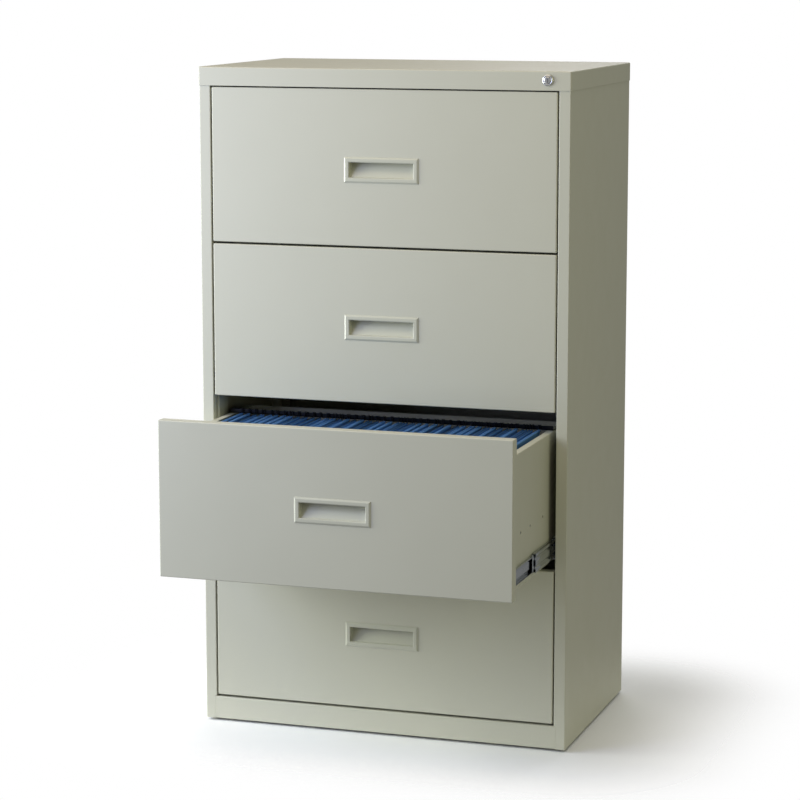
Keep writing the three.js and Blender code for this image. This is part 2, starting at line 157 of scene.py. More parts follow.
class CabinetSettings(bpy.types.PropertyGroup):
    sheet_metal: bpy.props.PointerProperty(type=SheetMetalSettings, name="Sheet metal", description="Folds and edges")
    pull: bpy.props.PointerProperty(type=PullSettings, name="Pulls", description="The recessed pulls")
    slide: bpy.props.PointerProperty(type=SlideSettings, name="Slides", description="The telescopic slides")
    folders: bpy.props.PointerProperty(type=FolderSettings, name="Folders", description="The hanging folders")
    finish: bpy.props.PointerProperty(type=FinishSettings, name="Finishes", description="Colours and gloss")
    stage: bpy.props.PointerProperty(type=StageSettings, name="Stage", description="Floor and lights")


# ---- Materials ------------------------------------------------------------------------------


def add(tree, kind, settings=None, links=None):
    """Adds a node. Lower-case names in settings are its properties, and the others are its inputs."""
    node = tree.nodes.new(kind)
    for name, value in (settings or {}).items():
        if isinstance(name, str) and name.islower():
            setattr(node, name, value)
        else:
            node.inputs[name].default_value = value
    for name, (source, output) in (links or {}).items():
        tree.links.new(source.outputs[output], node.inputs[name])
    return node


def blank(name):
    """An empty material, its node tree, and the node with the object's own coordinates."""
    material = bpy.data.materials.new(name)
    material.use_nodes = True
    tree = material.node_tree
    tree.nodes.clear()
    return material, tree, add(tree, "ShaderNodeTexCoord")


def per_metre(millimetres):
    """The scale of a pattern whose repeat is this long, on coordinates in metres."""
    return 1000 / millimetres


def shade(rgb, factor):
    """A lighter or darker tone of a colour, with its alpha."""
    return [min(1, c * factor) for c in rgb] + [1]


def powder_coated_steel(name, rgb, roughness):
    # Polyester powder coat on mild steel: baked on as a dry powder, so it is an even satin film with
    # fine orange peel. The sheet under it is never quite flat, so broad reflections swim a little.
    material, tree, place = blank(name)
    # the film is thicker in places, over hand-sized areas
    cloud = add(tree, "ShaderNodeTexNoise", {"Scale": per_metre(260), "Detail": 2}, {"Vector": (place, "Object")})
    tone = add(
        tree, "ShaderNodeMix", {"data_type": "RGBA", 6: shade(rgb, 0.975), 7: shade(rgb, 1.025)}, {0: (cloud, "Fac")}
    )
    # handling and cleaning change the gloss over a few centimetres
    handled = add(tree, "ShaderNodeTexNoise", {"Scale": per_metre(45), "Detail": 4}, {"Vector": (place, "Object")})
    gloss = add(
        tree,
        "ShaderNodeMapRange",
        {"From Min": 0.3, "From Max": 0.7, "To Min": roughness - 0.03, "To Max": roughness + 0.04},
        {"Value": (handled, "Fac")},
    )
    # the sheet's own waves, about a third of a millimetre high
    wave = add(tree, "ShaderNodeTexNoise", {"Scale": per_metre(170), "Detail": 1}, {"Vector": (place, "Object")})
    waved = add(tree, "ShaderNodeBump", {"Strength": 1, "Distance": 0.5 * mm}, {"Height": (wave, "Fac")})
    # orange peel is about 1 mm across on the real film, and is drawn at 1.6 mm so that it shows
    peel = add(tree, "ShaderNodeTexNoise", {"Scale": per_metre(1.6), "Detail": 1}, {"Vector": (place, "Object")})
    peeled = add(
        tree,
        "ShaderNodeBump",
        {"Strength": 0.5, "Distance": 0.05 * mm},
        {"Height": (peel, "Fac"), "Normal": (waved, "Normal")},
    )
    shader = add(
        tree,
        "ShaderNodeBsdfPrincipled",
        {"Metallic": 0, "IOR": 1.5},
        {"Base Color": (tone, 2), "Roughness": (gloss, "Result"), "Normal": (peeled, "Normal")},
    )
    add(tree, "ShaderNodeOutputMaterial", links={"Surface": (shader, "BSDF")})
    return material


def moulded_plastic(name, rgb):
    # Injection-moulded ABS in the case's colour: it is coloured right through, and its surface copies a
    # spark-eroded mould, so it is a little glossier than the paint with a very fine even grain.
    material, tree, place = blank(name)
    flow = add(tree, "ShaderNodeTexNoise", {"Scale": per_metre(60), "Detail": 2}, {"Vector": (place, "Object")})
    tone = add(
        tree, "ShaderNodeMix", {"data_type": "RGBA", 6: shade(rgb, 0.985), 7: shade(rgb, 1.015)}, {0: (flow, "Fac")}
    )
    gloss = add(tree, "ShaderNodeMapRange", {"To Min": 0.28, "To Max": 0.36}, {"Value": (flow, "Fac")})
    # spark erosion leaves pits of about 0.3 mm, drawn at 0.7 mm so that they show
    grain = add(tree, "ShaderNodeTexNoise", {"Scale": per_metre(0.7), "Detail": 2}, {"Vector": (place, "Object")})
    grained = add(tree, "ShaderNodeBump", {"Strength": 0.35, "Distance": 0.03 * mm}, {"Height": (grain, "Fac")})
    shader = add(
        tree,
        "ShaderNodeBsdfPrincipled",
        {"Metallic": 0, "IOR": 1.52},
        {"Base Color": (tone, 2), "Roughness": (gloss, "Result"), "Normal": (grained, "Normal")},
    )
    add(tree, "ShaderNodeOutputMaterial", links={"Surface": (shader, "BSDF")})
    return material


def roll_formed_zinc(name, rgb):
    # Bright zinc plate on roll-formed strip: the rolls leave long fine lines down the member, and thin
    # grease from the races clouds the plate.
    material, tree, place = blank(name)
    # lines 0.8 mm apart and 150 mm long, lying along the slide
    drawn = add(
        tree,
        "ShaderNodeMapping",
        {"Scale": (per_metre(0.8), per_metre(150), per_metre(0.8))},
        {"Vector": (place, "Object")},
    )
    lines = add(tree, "ShaderNodeTexNoise", {"Scale": 1, "Detail": 3}, {"Vector": (drawn, "Vector")})
    grease = add(tree, "ShaderNodeTexNoise", {"Scale": per_metre(35), "Detail": 3}, {"Vector": (place, "Object")})
    tone = add(
        tree, "ShaderNodeMix", {"data_type": "RGBA", 6: shade(rgb, 0.85), 7: shade(rgb, 1.3)}, {0: (grease, "Fac")}
    )
    gloss = add(tree, "ShaderNodeMapRange", {"To Min": 0.07, "To Max": 0.18}, {"Value": (lines, "Fac")})
    lined = add(tree, "ShaderNodeBump", {"Strength": 0.3, "Distance": 0.01 * mm}, {"Height": (lines, "Fac")})
    shader = add(
        tree,
        "ShaderNodeBsdfPrincipled",
        {"Metallic": 1},
        {"Base Color": (tone, 2), "Roughness": (gloss, "Result"), "Normal": (lined, "Normal")},
    )
    add(tree, "ShaderNodeOutputMaterial", links={"Surface": (shader, "BSDF")})
    return material


def zinc_plate(name, rgb):
    # Zinc electroplate on pressed and turned steel: a soft satin with faint cloudy patches from the bath.
    material, tree, place = blank(name)
    cloud = add(tree, "ShaderNodeTexNoise", {"Scale": per_metre(12), "Detail": 4}, {"Vector": (place, "Object")})
    tone = add(
        tree, "ShaderNodeMix", {"data_type": "RGBA", 6: shade(rgb, 0.86), 7: shade(rgb, 1.06)}, {0: (cloud, "Fac")}
    )
    gloss = add(tree, "ShaderNodeMapRange", {"To Min": 0.3, "To Max": 0.46}, {"Value": (cloud, "Fac")})
    # the steel under the plate is etched by pickling, in specks just under a millimetre across
    pickle = add(tree, "ShaderNodeTexNoise", {"Scale": per_metre(0.9), "Detail": 2}, {"Vector": (place, "Object")})
    pickled = add(tree, "ShaderNodeBump", {"Strength": 0.3, "Distance": 0.02 * mm}, {"Height": (pickle, "Fac")})
    shader = add(
        tree,
        "ShaderNodeBsdfPrincipled",
        {"Metallic": 1},
        {"Base Color": (tone, 2), "Roughness": (gloss, "Result"), "Normal": (pickled, "Normal")},
    )
    add(tree, "ShaderNodeOutputMaterial", links={"Surface": (shader, "BSDF")})
    return material


def black_passivated_zinc(name, rgb):
    # Zinc plate drawn nearly black as painted shade, for the shadow that the file bars and folder rods lie in: waxy,
    # with faint greyer patches where the film is thin.
    material, tree, place = blank(name)
    film = add(tree, "ShaderNodeTexNoise", {"Scale": per_metre(18), "Detail": 4}, {"Vector": (place, "Object")})
    tone = add(
        tree, "ShaderNodeMix", {"data_type": "RGBA", 6: shade(rgb, 0.7), 7: shade(rgb, 1.6)}, {0: (film, "Fac")}
    )
    gloss = add(tree, "ShaderNodeMapRange", {"To Min": 0.3, "To Max": 0.45}, {"Value": (film, "Fac")})
    shader = add(
        tree, "ShaderNodeBsdfPrincipled", {"Metallic": 1}, {"Base Color": (tone, 2), "Roughness": (gloss, "Result")}
    )
    add(tree, "ShaderNodeOutputMaterial", links={"Surface": (shader, "BSDF")})
    return material


def chrome_plate(name, rgb):
    # Satin chrome plate on a die-cast lock: a soft bright sheen, with faint smears where keys and fingers rub.
    material, tree, place = blank(name)
    smear = add(tree, "ShaderNodeTexNoise", {"Scale": per_metre(4), "Detail": 3}, {"Vector": (place, "Object")})
    gloss = add(tree, "ShaderNodeMapRange", {"To Min": 0.22, "To Max": 0.38}, {"Value": (smear, "Fac")})
    tone = add(
        tree, "ShaderNodeMix", {"data_type": "RGBA", 6: shade(rgb, 0.95), 7: shade(rgb, 1.02)}, {0: (smear, "Fac")}
    )
    shader = add(
        tree, "ShaderNodeBsdfPrincipled", {"Metallic": 1}, {"Base Color": (tone, 2), "Roughness": (gloss, "Result")}
    )
    add(tree, "ShaderNodeOutputMaterial", links={"Surface": (shader, "BSDF")})
    return material


def folder_card(name, rgb):
    # Uncoated dyed card: matt, with fibres that mottle the dye and roughen the surface.
    material, tree, place = blank(name)
    mottle = add(tree, "ShaderNodeTexNoise", {"Scale": per_metre(3), "Detail": 5}, {"Vector": (place, "Object")})
    tone = add(
        tree, "ShaderNodeMix", {"data_type": "RGBA", 6: shade(rgb, 0.85), 7: shade(rgb, 1.25)}, {0: (mottle, "Fac")}
    )
    # fibres are about 0.1 mm wide, and are drawn at 0.6 mm so that they show
    fibre = add(tree, "ShaderNodeTexNoise", {"Scale": per_metre(0.6), "Detail": 3}, {"Vector": (place, "Object")})
    rough = add(tree, "ShaderNodeBump", {"Strength": 0.5, "Distance": 0.06 * mm}, {"Height": (fibre, "Fac")})
    shader = add(
        tree,
        "ShaderNodeBsdfPrincipled",
        {"Metallic": 0, "IOR": 1.45, "Roughness": 0.82},
        {"Base Color": (tone, 2), "Normal": (rough, "Normal")},
    )
    add(tree, "ShaderNodeOutputMaterial", links={"Surface": (shader, "BSDF")})
    return material


def painted_floor(name, rgb, middle, half, clear_by):
    # A matt white painted studio floor, with the faint mottle of a roller. Away from the cabinet's
    # footprint it gives way to the white room, so only the contact shadow shows and no horizon.
    material, tree, place = blank(name)
    rolled = add(tree, "ShaderNodeTexNoise", {"Scale": per_metre(400), "Detail": 2}, {"Vector": (place, "Object")})
    tone = add(
        tree, "ShaderNodeMix", {"data_type": "RGBA", 6: shade(rgb, 0.995), 7: shade(rgb, 1.005)}, {0: (rolled, "Fac")}
    )
    shader = add(tree, "ShaderNodeBsdfPrincipled", {"Roughness": 0.9, "IOR": 1.4}, {"Base Color": (tone, 2)})
    # how far outside the footprint a point lies
    centred = add(tree, "ShaderNodeVectorMath", {"operation": "SUBTRACT", 1: middle}, {0: (place, "Object")})
    folded = add(tree, "ShaderNodeVectorMath", {"operation": "ABSOLUTE"}, {0: (centred, "Vector")})
    past = add(tree, "ShaderNodeVectorMath", {"operation": "SUBTRACT", 1: half}, {0: (folded, "Vector")})
    outside = add(tree, "ShaderNodeVectorMath", {"operation": "MAXIMUM", 1: (0, 0, 0)}, {0: (past, "Vector")})
    away = add(tree, "ShaderNodeVectorMath", {"operation": "LENGTH"}, {0: (outside, "Vector")})
    fade = add(
        tree,
        "ShaderNodeMapRange",
        {"interpolation_type": "SMOOTHERSTEP", "From Min": 0, "From Max": clear_by},
        {"Value": (away, "Value")},
    )
    clear = add(tree, "ShaderNodeBsdfTransparent")
    mixed = add(tree, "ShaderNodeMixShader", links={0: (fade, "Result"), 1: (shader, "BSDF"), 2: (clear, "BSDF")})
    add(tree, "ShaderNodeOutputMaterial", links={"Surface": (mixed, "Shader")})
    return material


def finish(slot):
    """The material for one of the record's slots, made the first time it is asked for."""
    values = bpy.context.scene.cabinet.finish
    name, maker, *looks = {
        "putty_painted_steel": ("powder_coated_steel", powder_coated_steel, values.paint, values.paint_roughness),
        "putty_moulded_plastic": ("moulded_abs", moulded_plastic, values.plastic),
        "slide_zinc_steel": ("roll_formed_zinc_plated_steel", roll_formed_zinc, values.zinc),
        "zinc_plated_steel": ("zinc_plated_steel", zinc_plate, values.zinc),
        "lock_chrome": ("chrome_plated_zinc", chrome_plate, values.chrome),
        "blue_folder_card": ("dyed_folder_card", folder_card, values.card),
    }[slot]
    return bpy.data.materials.get(name) or maker(name, *looks)


def black_zinc():
    """The zinc of the parts inside the drawers, darkened to near black as painted shade."""
    name = "black_passivated_zinc_steel"
    return bpy.data.materials.get(name) or black_passivated_zinc(name, bpy.context.scene.cabinet.finish.black_zinc)


# ---- Mesh helpers ---------------------------------------------------------------------------


def place_piece(name, bm, slot, body, replaces=(), even=True, look=None):
    """Makes the finished piece: smooth over its bends, riding on its body, in its slot's finish or its own look."""
    mesh = bpy.data.meshes.new(name)
    bm.to_mesh(mesh)
    bm.free()
    mesh.polygons.foreach_set("use_smooth", [True] * len(mesh.polygons))
    mesh.set_sharp_from_angle(angle=math.radians(SMOOTH_BELOW))
    mesh.materials.append(look or finish(slot))
    piece = bpy.data.objects.new(name, mesh)
    bpy.context.scene.collection.objects.link(piece)
    if even:  # wide faces stay flat beside narrow bends
        weights = piece.modifiers.new("Even shading", "WEIGHTED_NORMAL")
        weights.keep_sharp = True
        weights.weight = 100  # the widest face decides
    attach(piece, body)
    if replaces:
        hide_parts(*replaces)
    return piece


def round_edges(bm, edges, radius, segments):
    """Rounds the edges over, if there are any: not every part has folds both ways."""
    if edges:
        bmesh.ops.bevel(
            bm,
            geom=edges,
            offset=radius,
            offset_type="OFFSET",
            segments=segments,
            profile=0.5,
            affect="EDGES",
            clamp_overlap=True,
            loop_slide=True,
            material=-1,
        )


def strip_width(face):
    """The width of a long narrow face, from its area and its edge."""
    return 2 * face.calc_area() / face.calc_perimeter()


def turned_edges(bm, least):
    """The edges where two faces meet at more than so many degrees."""
    return [e for e in bm.edges if len(e.link_faces) == 2 and math.degrees(e.calc_face_angle(0)) > least]


def new_verts(geometry):
    return [g for g in geometry if isinstance(g, bmesh.types.BMVert)]


def middle_of(node):
    low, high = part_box(node)
    return (low + high) / 2


def width_across(face, edge):
    """How far a face reaches straight in from the middle of one of its edges."""
    start = (edge.verts[0].co + edge.verts[1].co) / 2
    along = (edge.verts[1].co - edge.verts[0].co).normalized()
    reach = []
    for other in face.edges:
        a, b = (v.co - start for v in other.verts)
        before, after = a.dot(along), b.dot(along)
        # the other edge crosses the plane through the middle, and doesn't lie in it
        if other is not edge and before * after <= 0 and abs(before - after) > 1e-6 * mm:
            reach.append(a.lerp(b, before / (before - after)).length)
    return min(reach, default=math.inf)


def folded_copy(node, sheet, bend, ease, cuts=()):
    """A copy of a CAD sheet part whose folds get their real radius, inside and out, and whose cut edges are eased.
    The cuts are planes through its holes, which keep stray edges from running between a hole and a fold."""
    bm = bmesh.new()
    bm.from_mesh(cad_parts[node].data)
    bmesh.ops.remove_doubles(bm, verts=bm.verts, dist=0.01 * mm)
    for point, normal in cuts:
        whole = bm.faces[:] + bm.edges[:] + bm.verts[:]
        parted = bmesh.ops.bisect_plane(bm, geom=whole, dist=0.01 * mm, plane_co=point, plane_no=normal)["geom_cut"]
        for edge in parted:
            if isinstance(edge, bmesh.types.BMEdge):
                edge.seam = True
    bmesh.ops.dissolve_limit(
        bm,
        angle_limit=math.radians(0.5),
        verts=bm.verts,
        edges=bm.edges,
        use_dissolve_boundaries=False,
        delimit={"SEAM"},
    )
    bmesh.ops.recalc_face_normals(bm, faces=bm.faces)

    # a face no wider than this is the cut edge of the sheet, and no fold runs along it
    thin = 1.3 * sheet
    cut = {f for f in bm.faces if strip_width(f) < thin}
    folds = [
        e
        for e in turned_edges(bm, FOLD_FROM)
        if not cut & set(e.link_faces) and all(width_across(f, e) > thin for f in e.link_faces)
    ]
    outer = [e for e in folds if e.is_convex]
    inner = [e for e in folds if not e.is_convex]
    round_edges(bm, outer, bend + sheet, 4)
    round_edges(bm, [e for e in inner if e.is_valid], bend, 3)

    # the small faces left at the ends of the bends are not cut edges
    cut = {f for f in bm.faces if strip_width(f) < thin and f.calc_area() > (2 * sheet) ** 2}

    def on_rim(edge):
        if cut & set(edge.link_faces):
            return edge.calc_length() > 0.1 * mm
        return edge.calc_length() > thin and any(width_across(f, edge) < thin for f in edge.link_faces)

    round_edges(bm, [e for e in turned_edges(bm, SQUARE_FROM) if on_rim(e)], ease, 2)
    # where there was no room to round an edge, the empty faces would bend the light on their neighbours
    bmesh.ops.dissolve_degenerate(bm, dist=0.002 * mm, edges=bm.edges)

    low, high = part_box(node)
    slack = Vector((0.1, 0.1, 0.1)) * mm
    if any(not all(a <= b <= c for a, b, c in zip(low - slack, v.co, high + slack)) for v in bm.verts):
        raise RuntimeError(f"{node}: rounding its folds pushed it out of its own box")
    return bm


def grid_face(bm, width, height):
    """One upright face that looks towards -Y, centred on the origin."""
    made = bmesh.ops.create_grid(bm, x_segments=1, y_segments=1, size=0.5)
    bmesh.ops.scale(bm, verts=made["verts"], vec=(width, height, 1))
    bmesh.ops.rotate(bm, verts=made["verts"], cent=(0, 0, 0), matrix=Matrix.Rotation(math.pi / 2, 3, "X"))
    return bm.faces[:][0]


def step_face(bm, face, inward, outward):
    """Insets a face and moves it along its normal, leaving a ring of walls round it. With no inset, the walls
    are square to it."""
    if inward:
        bmesh.ops.inset_individual(bm, faces=[face], thickness=inward, depth=outward, use_even_offset=True)
        return face
    moved = face.normal * outward
    face = bmesh.ops.extrude_discrete_faces(bm, faces=[face])["faces"][0]
    bmesh.ops.translate(bm, verts=face.verts, vec=moved)
    return face


def strip(bm, line, ends, radius, segments=3):
    """A folded strip along Y: a line of (x, z) corners, drawn out between the two ends with its folds rounded.
    Sharp folds get the whole radius and shallow ones a third of it."""
    verts = [bm.verts.new((x, ends[0], z)) for x, z in line]
    edges = [bm.edges.new(pair) for pair in zip(verts, verts[1:])]
    drawn = bmesh.ops.extrude_edge_only(bm, edges=edges)["geom"]
    bmesh.ops.translate(bm, verts=new_verts(drawn), vec=(0, ends[1] - ends[0], 0))
    bm.normal_update()
    folds = [e for e in bm.edges if len(e.link_faces) == 2]
    sharp = turned_edges(bm, 70)
    round_edges(bm, sharp, radius, segments)
    round_edges(bm, [e for e in folds if e.is_valid and e not in sharp], radius / 3, 2)


def thicken(bm, thickness):
    """Gives an open skin a wall behind it, on the side that its normals point away from."""
    bmesh.ops.solidify(bm, geom=bm.faces[:], thickness=thickness)


def turn(bm, profile, centre, axis, steps):
    """A turned piece: a line of (radius, distance along the axis) points, spun all the way round."""
    along = Vector(axis)
    out = Vector((1, 0, 0))
    verts = [bm.verts.new(Vector(centre) + out * r + along * a) for r, a in profile]
    edges = [bm.edges.new(pair) for pair in zip(verts, verts[1:])]
    bmesh.ops.spin(
        bm,
        geom=verts + edges,
        cent=centre,
        axis=axis,
        angle=2 * math.pi,
        steps=steps,
        use_merge=True,
        use_duplicate=False,
    )
    bmesh.ops.remove_doubles(bm, verts=bm.verts, dist=0.005 * mm)
    bmesh.ops.recalc_face_normals(bm, faces=bm.faces)


# ---- Pieces ---------------------------------------------------------------------------------


class CABINET_OT_case(bpy.types.Operator):
    """Builds the folded sheet metal of the case: sides, back, cap, base rail, pan and uprights"""

    bl_idname = "cabinet.case"
    bl_label = "Case"

    def execute(self, context):
        values = context.scene.cabinet.sheet_metal
        parts = {"top_cap": CASE_SHEET, "back_panel": CASE_SHEET}
        for name, _ in SIDES:
            parts[f"{name}_side_panel"] = CASE_SHEET
            parts[f"front_{name}_upright"] = HEAVY_SHEET
            parts[f"rear_{name}_upright"] = HEAVY_SHEET
        parts["base_rail"] = CASE_SHEET
        parts["bottom_pan"] = CASE_SHEET
        # across the case, the lock's hole in the cap and the glides' holes in the pan
        glide_x = middle_of("front_right_glide").x
        holes = {"top_cap": (middle_of("lock_housing").x,), "bottom_pan": (-glide_x, glide_x)}
        for node, sheet in parts.items():
            bend = values.cap_bend if node == "top_cap" else values.case_bend
            cuts = [((x, 0, 0), (1, 0, 0)) for x in holes.get(node, ())]
            bm = folded_copy(node, sheet, bend, values.edge_ease, cuts)
            place_piece(f"{node}_folded", bm, "putty_painted_steel", "case", [node])
        return {"FINISHED"}


class CABINET_OT_glides(bpy.types.Operator):
    """Builds the four levelling glides with their pads, studs and jam nuts"""

    bl_idname = "cabinet.glides"
    bl_label = "Levelling glides"

    def execute(self, context):
        thread_pitch = 1.25 * mm
        nut_radius, nut_height = 7.4 * mm, 5 * mm
        nut_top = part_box("bottom_pan")[1].z - 1.5 * mm  # it is tightened up against the pan's sheet
        for end in ("front", "rear"):
            for name, _ in SIDES:
                node = f"{end}_{name}_glide"
                low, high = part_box(node)
                centre = middle_of(node)
                centre.z = low.z
                top = high.z - low.z
                outer = (high.x - low.x) / 2
                bm = bmesh.new()
                # the pad, its collar and the foot of the stud
                profile = [
                    (0, 0),
                    (outer - 1.2 * mm, 0),
                    (outer - 0.35 * mm, 0.35 * mm),
                    (outer, 1.2 * mm),
                    (outer, 2.8 * mm),
                    (outer - 0.5 * mm, 3.6 * mm),
                    (outer - 1.4 * mm, 4 * mm),
                    (8 * mm, 4 * mm),
                    (7.6 * mm, 6.6 * mm),
                    (7 * mm, 7 * mm),
                    (3.6 * mm, 7 * mm),
                ]
                # the thread's crests and roots
                z = 7.6 * mm
                while z < top - 1.2 * mm:
                    profile += [(3.9 * mm, z), (3.3 * mm, z + 0.62 * mm)]
                    z += thread_pitch
                profile += [(2.9 * mm, top - 0.3 * mm), (0, top)]
                turn(bm, profile, centre, (0, 0, 1), 40)
                nut = bmesh.ops.create_cone(
                    bm,
                    cap_ends=True,
                    segments=6,
                    radius1=nut_radius,
                    radius2=nut_radius,
                    depth=nut_height,
                    matrix=Matrix.Translation((centre.x, centre.y, nut_top - nut_height / 2)),
                )
                nut_edges = {e for v in nut["verts"] for e in v.link_edges}
                round_edges(bm, list(nut_edges), 0.5 * mm, 2)
                place_piece(f"{node}_turned", bm, "zinc_plated_steel", "case", [node])
        return {"FINISHED"}


class CABINET_OT_lock(bpy.types.Operator):
    """Builds the lock's ring, plug, cam and bar"""

    bl_idname = "cabinet.lock"
    bl_label = "Lock"

    def execute(self, context):
        low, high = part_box("lock_housing")
        centre = middle_of("lock_housing")
        centre.y = 0
        outer = (high.x - low.x) / 2
        front, rear = low.y, high.y
        flange = front + 2.5 * mm
        bm = bmesh.new()
        # the bore's rear and front, the dished face, the flange's rounded edge, and the barrel behind it
        ring = [
            (6.5 * mm, rear),
            (6.5 * mm, front + 1 * mm),
            (6.8 * mm, front + 0.7 * mm),
            (7.6 * mm, front + 0.2 * mm),
            (8.4 * mm, front),
            (outer - 1.4 * mm, front + 0.15 * mm),
            (outer - 0.6 * mm, front + 0.6 * mm),
            (outer - 0.1 * mm, front + 1.4 * mm),
            (outer, flange - 0.2 * mm),
            (outer - 0.3 * mm, flange),
            (9.5 * mm, flange),
            (9.5 * mm, rear),
            (6.5 * mm, rear),
        ]
        turn(bm, ring, centre, (0, 1, 0), 64)
        place_piece("lock_ring", bm, "lock_chrome", "case", ["lock_housing"])

        self.plug(Vector((centre.x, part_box("lock_plug")[0].y, centre.z)), rear)

        values = context.scene.cabinet.sheet_metal
        for node, body in (("lock_cam", "lock"), ("lock_bar", "lock_bar")):
            bm = folded_copy(node, HEAVY_SHEET, 0.6 * mm, values.edge_ease)
            place_piece(f"{node}_pressed", bm, "zinc_plated_steel", body, [node])
        return {"FINISHED"}

    def plug(self, middle, rear):
        """The round plug behind the middle of its face, with a keyway that is sunk into it."""
        radius = 6.2 * mm
        slot_half_width, slot_half_height, slot_depth = 1 * mm, 4.2 * mm, 5 * mm
        slot_chamfer, slot_chamfer_depth = 0.15 * mm, 0.3 * mm
        bm = bmesh.new()
        upright = Matrix.Translation(middle) @ Matrix.Rotation(math.pi / 2, 4, "X")
        bmesh.ops.create_circle(bm, cap_ends=True, segments=64, radius=radius, matrix=upright)
        tail = bmesh.ops.extrude_face_region(bm, geom=bm.faces[:], use_keep_orig=True)["geom"]
        bmesh.ops.translate(bm, verts=new_verts(tail), vec=(0, rear - middle.y, 0))
        bmesh.ops.recalc_face_normals(bm, faces=bm.faces)
        rims = [e for e in turned_edges(bm, SQUARE_FROM) if all(v.co.y < middle.y + 0.01 * mm for v in e.verts)]
        round_edges(bm, rims, 0.5 * mm, 3)

        def front_faces():
            return [f for f in bm.faces if f.normal.y < -0.99]

        # four planes mark the keyway out on the face
        across = [((x, 0, 0), (1, 0, 0)) for x in (-slot_half_width, slot_half_width)]
        up = [((0, 0, z), (0, 0, 1)) for z in (-slot_half_height, slot_half_height)]
        for offset, normal in across + up:
            faces = front_faces()
            edges = list({e for f in faces for e in f.edges})
            verts = list({v for f in faces for v in f.verts})
            bmesh.ops.bisect_plane(
                bm, geom=faces + edges + verts, dist=1e-4 * mm, plane_co=middle + Vector(offset), plane_no=normal
            )
        keyway = min(front_faces(), key=lambda f: (f.calc_center_median() - middle).length)
        step_face(bm, keyway, slot_chamfer, -slot_chamfer_depth)
        step_face(bm, keyway, 0, -slot_depth)
        place_piece("lock_plug_turned", bm, "lock_chrome", "lock", ["lock_plug"])


class CABINET_OT_drawer_fronts(bpy.types.Operator):
    """Builds the four folded drawer fronts"""

    bl_idname = "cabinet.drawer_fronts"
    bl_label = "Drawer fronts"

    def execute(self, context):
        values = context.scene.cabinet.sheet_metal
        # the pull's hole is in the middle of the front
        cuts = [((0, 0, 0), (1, 0, 0))]
        for number in DRAWERS:
            node = f"drawer_{number}_front"
            bm = folded_copy(node, DRAWER_SHEET, values.drawer_bend, values.edge_ease, cuts)
            place_piece(f"{node}_folded", bm, "putty_painted_steel", f"drawer_{number}", [node])
        return {"FINISHED"}


class CABINET_OT_pulls(bpy.types.Operator):
    """Builds the recessed pulls: a sloped bezel, a rounded lip and a cup that is deep at the top"""

    bl_idname = "cabinet.pulls"
    bl_label = "Pulls"

    def execute(self, context):
        values = context.scene.cabinet.pull
        opening_height = 30 * mm
        proud = 2 * mm  # how far the bezel stands out from the drawer front
        edge_step = 0.3 * mm  # its square outer edge, under the slope
        lip_drop = 0.9 * mm
        for number in DRAWERS:
            node = f"drawer_{number}_pull"
            low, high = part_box(node)
            front = low.y
            bm = bmesh.new()
            face = grid_face(bm, high.x - low.x, high.z - low.z)
            border = (high.z - low.z - opening_height) / 2
            face = step_face(bm, face, 0, edge_step)
            face = step_face(bm, face, values.slope, proud - edge_step)
            face = step_face(bm, face, border - values.slope - values.lip, 0)
            face = step_face(bm, face, values.lip, -lip_drop)
            bezel = set(bm.edges)
            face = step_face(bm, face, 0, -2 * mm)  # the start of the cup, which is deepened below
            middle = middle_of(node)
            bmesh.ops.translate(bm, verts=bm.verts, vec=(middle.x, front + proud, middle.z))
            # the cup's back leans: shallow at the bottom, deep at the top, both from the bezel's front
            shallow, deep = 5 * mm, high.y - front - values.wall
            bottom = min(v.co.z for v in face.verts)
            top = max(v.co.z for v in face.verts)
            for v in face.verts:
                v.co.y = front + shallow + (deep - shallow) * (v.co.z - bottom) / (top - bottom)
            bm.normal_update()
            round_edges(bm, [e for e in bm.edges if e not in bezel], values.fillet, 4)
            round_edges(bm, [e for e in turned_edges(bm, 12) if e in bezel], 0.45 * mm, 3)
            thicken(bm, values.wall)
            place_piece(f"{node}_moulded", bm, "putty_moulded_plastic", f"drawer_{number}", [node])
        return {"FINISHED"}


class CABINET_OT_trays(bpy.types.Operator):
    """Builds the drawers' folded trays and the file bars that lie across them"""

    bl_idname = "cabinet.trays"
    bl_label = "Trays and file bars"

    def execute(self, context):
        values = context.scene.cabinet.sheet_metal
        # the holes in a tray's sides, behind its front wall
        holes = (76.7 * mm, 141.7 * mm, 232.7 * mm)
        for number in DRAWERS:
            node = f"drawer_{number}_tray"
            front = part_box(node)[0].y
            cuts = [((0, front + hole, 0), (0, 1, 0)) for hole in holes]
            bm = folded_copy(node, DRAWER_SHEET, values.drawer_bend, values.edge_ease, cuts)
            place_piece(f"{node}_folded", bm, "putty_painted_steel", f"drawer_{number}", [node])
            node = f"drawer_{number}_file_bar"
            bm = folded_copy(node, HEAVY_SHEET, values.drawer_bend, values.edge_ease)
            # the file bar's near-black zinc is painted shade for the shadow it lies in
            place_piece(f"{node}_folded", bm, "zinc_plated_steel", f"drawer_{number}", [node], look=black_zinc())
        return {"FINISHED"}


